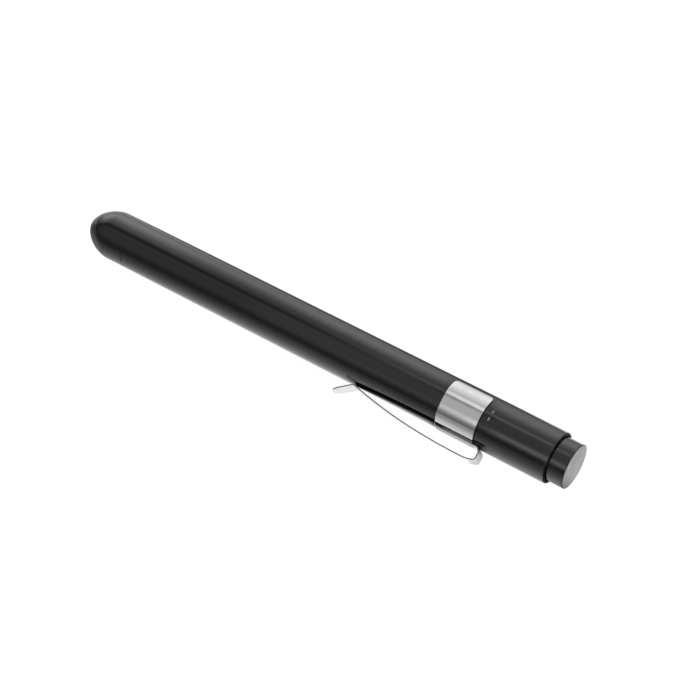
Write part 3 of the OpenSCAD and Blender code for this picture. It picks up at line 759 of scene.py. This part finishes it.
def tail_sleeve(sizes):
    """Tail: the lacquer is chipped in two places of its front edge, each a bell curve of the angle.

    Over the last part of the rim the lacquer is matt: painted shade for the dark gap round the button.
    """
    edge, seam, rim, rim_wall, chip = mm(sizes, "edge", "seam_edge", "rim", "rim_wall", "chip")
    bush_step, web_depth, near_edge = 1.09, 2.5, 0.1
    chips, chip_spread = ((119.6, 1.0), (101.6, 0.6)), 3.2
    rim_shade_from, rim_shade_over = 0.66 * rim, 0.23 * rim
    spigot, well, web = CUP_R, BARREL_R - rim_wall, RETURN_X - SPRING_GAP
    flange, bush, web_front = BUSH_FLANGE_R + CLEAR, BUSH_FLANGE_R - bush_step, web - web_depth
    profile, marks = rounded([
        (TAIL_X, flange, edge), (TAIL_X, spigot, edge), (BARREL_END_X, spigot, edge),
        (BARREL_END_X, BARREL_R, seam), (BARREL_END_X + chip, BARREL_R, 0), (RIM_X, BARREL_R, rim),
        (RIM_X, well, 0.04), (web, well, 0.3), (web, bush, edge), (web_front, bush, edge),
        (web_front, flange, edge)], 9)
    points, faces, round_marks = lathe(profile, marks, sizes.steps)
    x, y, z = points.T
    front = (x < BARREL_END_X + near_edge) & (np.hypot(y, z) > BARREL_R - near_edge)
    turn = np.degrees(np.arctan2(z, y))
    bare = front * sum(much * np.exp(-((turn - at) / chip_spread) ** 2) for at, much in chips)
    # painted shade on the last part of the rim, for the dark gap round the button
    matt = smooth((x - RIM_X + rim_shade_from) / rim_shade_over)
    tail = add_piece("tail", points, faces, "black_lacquer", "tail_sleeve", edge=round_marks, bare=bare, matt=matt)
    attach(tail, "barrel_body")


class PENLIGHT_OT_barrel(bpy.types.Operator):
    """Make the barrel's tube and the tail sleeve"""
    bl_idname = "penlight.barrel"
    bl_label = "Barrel and tail"

    def execute(self, context):
        sizes = context.scene.penlight_sizes
        barrel_tube(sizes)
        tail_sleeve(sizes)
        return {"FINISHED"}


class PENLIGHT_OT_button(bpy.types.Operator):
    """Make the push button with its stem, and the disc on its end"""
    bl_idname = "penlight.button"
    bl_label = "Button"

    def execute(self, context):
        sizes = context.scene.penlight_sizes
        skirt_x, skirt_gap, stem_step, hole, hole_depth = 118.0, 0.09, 2.75, 0.62, 3.02
        floor_x, hole_x = RETURN_END_X + SPRING_GAP, STEM_X + hole_depth
        skirt, stem, recess = BUSH_FLANGE_R + skirt_gap, BUSH_FLANGE_R - stem_step, DISC_R + SNUG
        profile, marks = rounded([
            (hole_x, 0, 0), (hole_x, hole, 0.04), (STEM_X, hole, 0.04), (STEM_X, stem, 0.1),
            (floor_x, stem, 0.1), (floor_x, skirt, 0.15), (skirt_x, skirt, 0.1), (skirt_x, BUTTON_R, 0.15),
            (BUTTON_END_X, BUTTON_R, sizes.button_round / MM), (BUTTON_END_X, recess, 0.01),
            (DISC_X, recess, 0.01), (DISC_X, 0, 0)])
        points, faces, round_marks = lathe(profile, marks, sizes.steps)
        button = add_piece("button", points, faces, "black_plastic", "push_button", edge=round_marks)
        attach(button, "button_body")
        profile, marks = rounded([
            (DISC_X, 0, 0), (DISC_X, DISC_R, FINE), (BUTTON_END_X, DISC_R, FINE), (BUTTON_END_X, 0, 0)])
        points, faces, _ = lathe(profile, marks, sizes.steps)
        disc = add_piece("button_face", points, faces, "satin_aluminium", "button_disc")
        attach(disc, "button_body")
        return {"FINISHED"}


class PENLIGHT_OT_clip_band(bpy.types.Operator):
    """Make the C-shaped band round the barrel"""
    bl_idname = "penlight.clip_band"
    bl_label = "Clip's band"

    def execute(self, context):
        """Path: the arc R (out cos a + side sin a) round the pen, with the sheet's width along the pen.

        The rear edge is marked darker, more so than the strip's edges: painted shade, the shadow line between
        band and tail.
        """
        sizes = context.scene.penlight_sizes
        thick, edge, corner = mm(sizes, "sheet", "sheet_edge", "band_corner")
        rear_cut, hair = 1.5, 0.001
        r = BARREL_R + thick / 2
        reach = r * sizes.band_arc / 2
        near = corner * (1 - np.cos(np.linspace(0, np.pi / 2, 16)))
        middle = np.linspace(corner - reach, reach - corner, 150)[1:-1]
        run = np.concatenate([near - reach, middle, reach - near[::-1]])
        a = run / r
        normal = np.cos(a)[:, None] * CLIP_OUT + np.sin(a)[:, None] * CLIP_SIDE
        path = r * normal + PEN_AXIS * (BAND_X + BAND_END_X) / 2
        side = np.broadcast_to(-PEN_AXIS, path.shape)
        distance = reach - np.abs(run)
        half = corner_width(distance, (BAND_END_X - BAND_X) / 2, corner)
        depth = end_thickness(distance, thick, edge)
        points, faces, along, _ = sheet(path, side, normal, half, depth, 0 * run, edge)
        rear_edge = along[:, 1].reshape(len(run), -1) < (edge - half)[:, None] + hair
        # painted shade along the band's rear edge: the shadow line between band and tail
        band = add_piece("clip_ring", points, faces, "satin_steel", "clip_band", run=along[:, [1, 0, 2]],
                         cut=rear_cut * rear_edge.ravel())
        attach(band, "barrel_body")
        return {"FINISHED"}


def strip_line(lip_corner, thick):
    """Middle line of the strip in its own plane, as (place along the pen, distance from its axis).

    Tongue out of the band's sheet, quarter round, riser, round onto the leaf, leaf, round at the contact,
    lip. The leaf falls from its highest place on both sides as a power of the distance from it.
    Also the bow across the strip, which the tongue has from the band and loses in the quarter round, and
    each point's distance from the lip's end.
    """
    root_y = BARREL_R + thick / 2
    root_lap, riser_x, root_r, leaf_r = 0.3, 111.78, 1.3, 0.55
    top, start_angle, start_power = np.array([107.0, 10.3]), np.radians(26), 3.5
    contact, contact_r = np.array([75.5, 7.67]), 0.8
    end_angle, lip_angle, lip_x = np.radians(13), np.radians(37.5), 70.7
    far_from_tip = 99.0

    def arc(centre, r, a0, a1, steps):
        a = np.linspace(a0, a1, steps)
        return centre + r * stacked(np.cos(a), np.sin(a))

    root_x = np.linspace(BAND_END_X - root_lap, riser_x - root_r, 24)[:-1]
    root = stacked(root_x, root_y)
    root_bend = arc([riser_x - root_r, root_y + root_r], root_r, -np.pi / 2, 0, 22)
    start_x = riser_x - leaf_r + leaf_r * np.sin(start_angle)
    drop = np.tan(start_angle) * (start_x - top[0]) / start_power
    flex = np.array([riser_x - leaf_r, top[1] - drop - leaf_r * np.cos(start_angle)])
    leaf_bend = arc(flex, leaf_r, 0, np.pi / 2 - start_angle, 18)
    back_x = np.linspace(start_x, top[0], 24)[1:]
    back = stacked(back_x, top[1] - drop * ((back_x - top[0]) / (start_x - top[0])) ** start_power)
    leaf_end = contact + contact_r * np.array([np.sin(end_angle), -np.cos(end_angle)])
    fall, far = top[1] - leaf_end[1], top[0] - leaf_end[0]
    power = np.tan(end_angle) * far / fall
    fore_x = np.linspace(top[0], leaf_end[0], 60)[1:-1]
    fore = stacked(fore_x, top[1] - fall * ((top[0] - fore_x) / far) ** power)
    touch = arc(contact, contact_r, end_angle - np.pi / 2, -np.pi / 2 - lip_angle, 20)
    lip_run = touch[-1, 0] - lip_x
    eased = np.cos(np.linspace(0, np.pi / 2, 14))[:-1]
    straight = np.linspace(0, lip_run - lip_corner, 8)[1:]
    lip_out = np.concatenate([straight, lip_run - lip_corner * (1 - eased[::-1])])
    lip = touch[-1] + lip_out[:, None] * np.array([-1, np.tan(lip_angle)])
    line = np.concatenate([root, root_bend, leaf_bend, back, fore, touch, lip])
    past = path_length(line) - root_lap
    bow = (1 - smooth(past / (riser_x - BAND_END_X))) / root_y
    from_tip = np.full(len(line), far_from_tip)
    from_tip[-len(lip):] = lip_run - lip_out
    return line, bow, from_tip


class PENLIGHT_OT_clip_strip(bpy.types.Operator):
    """Make the spring strip: the tongue off the band, the bend, the leaf and the lip"""
    bl_idname = "penlight.clip_strip"
    bl_label = "Clip's spring strip"

    def execute(self, context):
        """In the band's sheet the strip is a little thinner, so that no two faces lie in one plane.
        """
        sizes = context.scene.penlight_sizes
        thick, edge, width, lip_corner = mm(sizes, "sheet", "strip_edge", "strip_width", "lip_corner")
        thinner, over, slant = 0.02, 0.2, 0.09
        line, bow, from_tip = strip_line(lip_corner, thick)
        run = np.gradient(line, axis=0)
        run /= np.linalg.norm(run, axis=1)[:, None]
        path = line[:, :1] * PEN_AXIS + line[:, 1:] * CLIP_OUT
        normal = -run[:, 1:] * PEN_AXIS + run[:, :1] * CLIP_OUT
        side = np.broadcast_to(CLIP_SIDE, path.shape)
        half = corner_width(from_tip, width / 2, lip_corner)
        in_band = smooth((BAND_END_X + over - line[:, 0]) / over) * (line[:, 1] < BARREL_R + thick)
        depth = end_thickness(from_tip, thick, edge) * (1 - thinner * in_band)
        points, faces, along, cut = sheet(path, side, normal, half, depth, bow, edge)
        strip = add_piece("clip_spring", points, faces, "satin_steel", "clip_bend", "clip_leaf",
                          run=along, cut=cut)
        lean = CLIP_OUT - slant * PEN_AXIS
        lean = lean / (lean @ lean)
        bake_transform(strip)
        return {"FINISHED"}


class PENLIGHT_OT_springs(bpy.types.Operator):
    """Wind the three springs inside the pen"""
    bl_idname = "penlight.springs"
    bl_label = "Springs"

    def execute(self, context):
        sizes = context.scene.penlight_sizes
        return_wire, battery_wire, front_wire = mm(sizes, "return_wire", "battery_wire", "front_wire")
        r = RETURN_OUT_R - return_wire / 2
        spring = add_piece("return_coil", *coil(RETURN_X, RETURN_END_X, r, r, 8, return_wire),
                           "nickel", "return_spring")
        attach(spring, "barrel_body")
        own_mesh(spring)
        taper, r = 1.1, BATTERY_OUT_R - battery_wire / 2
        spring = add_piece("battery_coil", *coil(BATTERY_X, BATTERY_END_X, r - taper, r, 6, battery_wire),
                           "nickel", "battery_spring")
        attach(spring, "barrel_body")
        tip_r, r = 1.3, FRONT_OUT_R - front_wire / 2
        spring = add_piece("front_coil", *coil(FRONT_X, FRONT_END_X, r, tip_r, 5, front_wire),
                           "brass", "front_contact_spring")
        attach(spring, "lamp_body")
        return {"FINISHED"}


# Patches of painted light and painted shade on the floor as mirrors see it: level, stretches in millimetres
# over which the patch rises and falls along the pen, and stretches across it. None stands for a side on which
# the patch doesn't end.
FLOOR_SHADES = (
    (0.75, (None, (-18, -2)), ((-14, -3), None)),  # under the nose
    (0.26, ((108.5, 110.8), (111.8, 114)), ((-13, -9), None)),  # under the clip's bend
    (0.33, ((109, 114), None), ((-9, -4), None)),  # under the tail
    (0.432, ((94.5, 97), (107, 110)), ((-8.1, -7.1), None)),  # behind the leaf
    (0.288, ((94.5, 97), (107, 110)), ((-8.1, -7.1), (-7, -5.4))),  # close behind the leaf
)
FLOOR_LIGHTS = (
    (0.45, ((90, 95), (108.5, 110.5)), ((-10, -8.8), (-8.3, -7.7))),  # under the leaf
    (0.45, ((104, 124), (135, 150)), ((-4, 4), None)),  # behind the button
    (0.15, ((104, 124), (127, 135)), ((-4, 4), None)),  # behind the tail
    (0.55, ((104, 124), None), ((-4, 4), None)),  # past the tail
    (0.60, (None, (-34, -6)), ((-4, 18), None)),  # past the nose
    (0.25, (None, None), ((30, 120), None)),  # behind the pen
    (0.30, (None, None), ((100, 900), None)),  # further back
)


def set_floor(studio):
    """Plain pale floor under the pen: a square grid, white to the camera, with a share that takes shadow.

    In mirrors it glows with painted light and shade, as bright as the studio would light it: a painted pool
    of light in front of the pen, which falls off forwards and towards the nose, painted shade under nose,
    clip and tail, the pen's painted shadow behind it, and painted light past its tail, past its nose and
    further back.
    """
    half, lines, camera_level, dim = 3000.0, 13, 1.06, 0.23
    u = np.linspace(-half, half, lines)
    x, y = np.meshgrid(u, u, indexing="ij")
    points = stacked(x, y, CAD_BOX[0][2] / MM).reshape(-1, 3)
    faces = np.array(grid_faces(lines, lines, False, False))[:, ::-1].tolist()
    floor = mesh_object("floor", points, faces)
    f = Finish("floor")
    floor.data.materials.append(f.material)
    place = f.parts(f.node("ShaderNodeTexCoord").outputs["Object"])
    x, y = (f.times(place[axis], 1 / MM) for axis in "XY")
    # painted light and shade that only mirrors see: a pool of light in front of the pen, then the tables'
    # patches
    pool = f.total(f.ease(y, -350, -30, 0, 0.26), f.ease(y, -45, -12, 0, 0.5), f.ease(y, -20, -8, 0, 0.5))
    pool = f.times(pool, f.ease(y, -7.5, 3, 1, 0), f.ease(x, -40, 70, 0.5, 1.06), f.ease(x, 90, 125, 1, 0.9))
    fading = f.times(f.ease(x, -55, -15, 0.2, 1), f.ease(x, 129, 135, 1, 0.4))
    shade = f.less(1.0, floor_patches(f, x, y, FLOOR_SHADES))
    level = f.total(f.times(pool, fading, shade), floor_patches(f, x, y, FLOOR_LIGHTS), dim)
    path = f.node("ShaderNodeLightPath").outputs
    seen = f.glow("ShaderNodeEmission", camera_level)
    mirrored = f.glow("ShaderNodeEmission", level)
    plain = f.node("ShaderNodeBsdfDiffuse", {"Color": (0.85, 0.85, 0.85, 1)}).outputs[0]
    white = f.either(studio.floor_shadow, seen, plain)
    reflected = f.math("MAXIMUM", path["Is Glossy Ray"], path["Is Transmission Ray"])
    surface = f.either(reflected, f.either(path["Is Camera Ray"], plain, white), mirrored)
    f.links.new(surface, f.nodes["Material Output"].inputs["Surface"])
    f.nodes.remove(f.shader)


def floor_patches(f, x, y, rows):
    """Sum of patches of light or shade on the floor."""
    return f.total(*(f.times(f.strip(x, *along, level), f.strip(y, *across, 1))
                     for level, along, across in rows))


def set_world(scene, studio):
    """Studio of long panels beside the pen. A panel lies between two angles round the pen's axis.

    The angle is 0 at the horizon in front, 90 overhead and 180 at the horizon behind. Along the pen a
    panel fades with the direction's X, which is about -0.53 where the camera sees it mirrored in the
    collar and -0.28 at the rim. The camera itself sees white.
    """
    world = bpy.data.worlds.new("studio")
    world.use_nodes = True
    scene.world = world
    f = Tree(world.node_tree)
    way = f.parts(f.node("ShaderNodeTexCoord").outputs["Generated"])
    along = way["X"]
    angle = f.times(f.math("ARCTAN2", way["Z"], f.times(way["Y"], -1.0)), 360 / TURN)
    on_band = f.strip(along, (-0.350, -0.346), (-0.320, -0.316), 1)
    front = f.times(f.strip(angle, (-1, 33), (69, 79), studio.front_panel),
                    f.ease(along, -0.475, -0.445, 0.66, 1), f.ease(along, -1, -0.62, 0.25, 1))
    over = f.times(f.strip(angle, (70, 77), (80, 88), studio.over_panel),
                   f.less(f.ease(along, -0.50, -0.32, 0, 1), on_band))
    edge = f.times(f.strip(angle, (80, 89), (90, 102), studio.panel_edge),
                   f.less(f.ease(along, -0.45, -0.30, 0, 1), f.times(on_band, 0.16)))
    rear = f.times(f.ease(angle, 80, 101, 0, studio.rear_panel), f.ease(along, -1, -0.85, 0.2, 1))
    left = f.times(f.strip(angle, (80, 104), (112, 150), studio.left_panel),
                   f.ease(along, -0.52, -0.482, 1, 0))
    dips = f.total(f.strip(along, (-0.515, -0.485), (-0.465, -0.41), 0.15), f.times(on_band, 0.64))
    lamp = f.times(f.strip(angle, (99, 141), (144, 182), studio.rear_lamp),
                   f.less(f.ease(along, -0.54, -0.50, 1.3, 1), dips), f.ease(along, -1.02, -0.82, 0.2, 1))
    side = f.times(f.strip(angle, (12, 28), (30, 46), studio.side_lamp),
                   f.total(f.ease(along, -0.43, -0.38, 0, 0.1), f.ease(along, -0.318, -0.308, 0, 0.9)))
    level = f.times(f.total(front, over, edge, rear, left, lamp, side, studio.room),
                    f.ease(along, -1, -0.9, 0.5, 1))
    light, white = f.glow("ShaderNodeBackground", level), f.glow("ShaderNodeBackground", 1.0)
    shown = f.either(f.node("ShaderNodeLightPath").outputs["Is Camera Ray"], light, white)
    f.links.new(shown, f.nodes["World Output"].inputs["Surface"])


def set_camera(scene):
    """Camera in front of the pen and above it, level."""
    data = bpy.data.cameras.new("camera")
    data.sensor_width, data.lens = 36.0, 84.988
    data.clip_start, data.clip_end = 0.01, 20.0
    camera = bpy.data.objects.new("camera", data)
    scene.collection.objects.link(camera)
    right, up = (0.81623, 0.57772, -0.00231), (-0.41227, 0.58526, 0.69822)
    back, place = (0.40473, -0.56896, 0.71588), (0.2347, -0.2324943, 0.2937554)
    columns = [(*axis, 0) for axis in (right, up, back)] + [(*place, 1)]
    camera.matrix_world = Matrix(columns).transposed()
    scene.camera = camera


class PENLIGHT_OT_stage(bpy.types.Operator):
    """Set the floor, the studio's light and the camera"""
    bl_idname = "penlight.stage"
    bl_label = "Stage"

    def execute(self, context):
        studio = context.scene.penlight_studio
        set_floor(studio)
        set_world(context.scene, studio)
        set_camera(context.scene)
        context.scene.view_settings.view_transform = "Standard"
        return {"FINISHED"}


class PENLIGHT_PT_panel(bpy.types.Panel):
    """Sizes, colours and lights of the penlight, and its operators"""
    bl_idname = "PENLIGHT_PT_panel"
    bl_label = "Penlight"
    bl_space_type = "VIEW_3D"
    bl_region_type = "UI"
    bl_category = "Penlight"

    def draw(self, context):
        scene = context.scene
        for group in (scene.penlight_sizes, scene.penlight_colours, scene.penlight_studio):
            box = self.layout.box()
            for key in group.__annotations__:
                box.prop(group, key)
        for operator in OPERATORS:
            self.layout.operator(operator.bl_idname)


OPERATORS = (PENLIGHT_OT_finishes, PENLIGHT_OT_nose, PENLIGHT_OT_barrel, PENLIGHT_OT_button,
             PENLIGHT_OT_clip_band, PENLIGHT_OT_clip_strip, PENLIGHT_OT_springs, PENLIGHT_OT_stage)
CLASSES = (PenlightSizes, PenlightColours, PenlightStudio, *OPERATORS, PENLIGHT_PT_panel)


def register():
    for cls in CLASSES:
        bpy.utils.register_class(cls)
    bpy.types.Scene.penlight_sizes = PointerProperty(type=PenlightSizes)
    bpy.types.Scene.penlight_colours = PointerProperty(type=PenlightColours)
    bpy.types.Scene.penlight_studio = PointerProperty(type=PenlightStudio)


def unregister():
    del bpy.types.Scene.penlight_sizes
    del bpy.types.Scene.penlight_colours
    del bpy.types.Scene.penlight_studio
    for cls in reversed(CLASSES):
        bpy.utils.unregister_class(cls)


def main():
    register()
    for step in ("finishes", "nose", "barrel", "button", "clip_band", "clip_strip", "springs", "stage"):
        getattr(bpy.ops.penlight, step)()


if __name__ == "__main__":
    main()
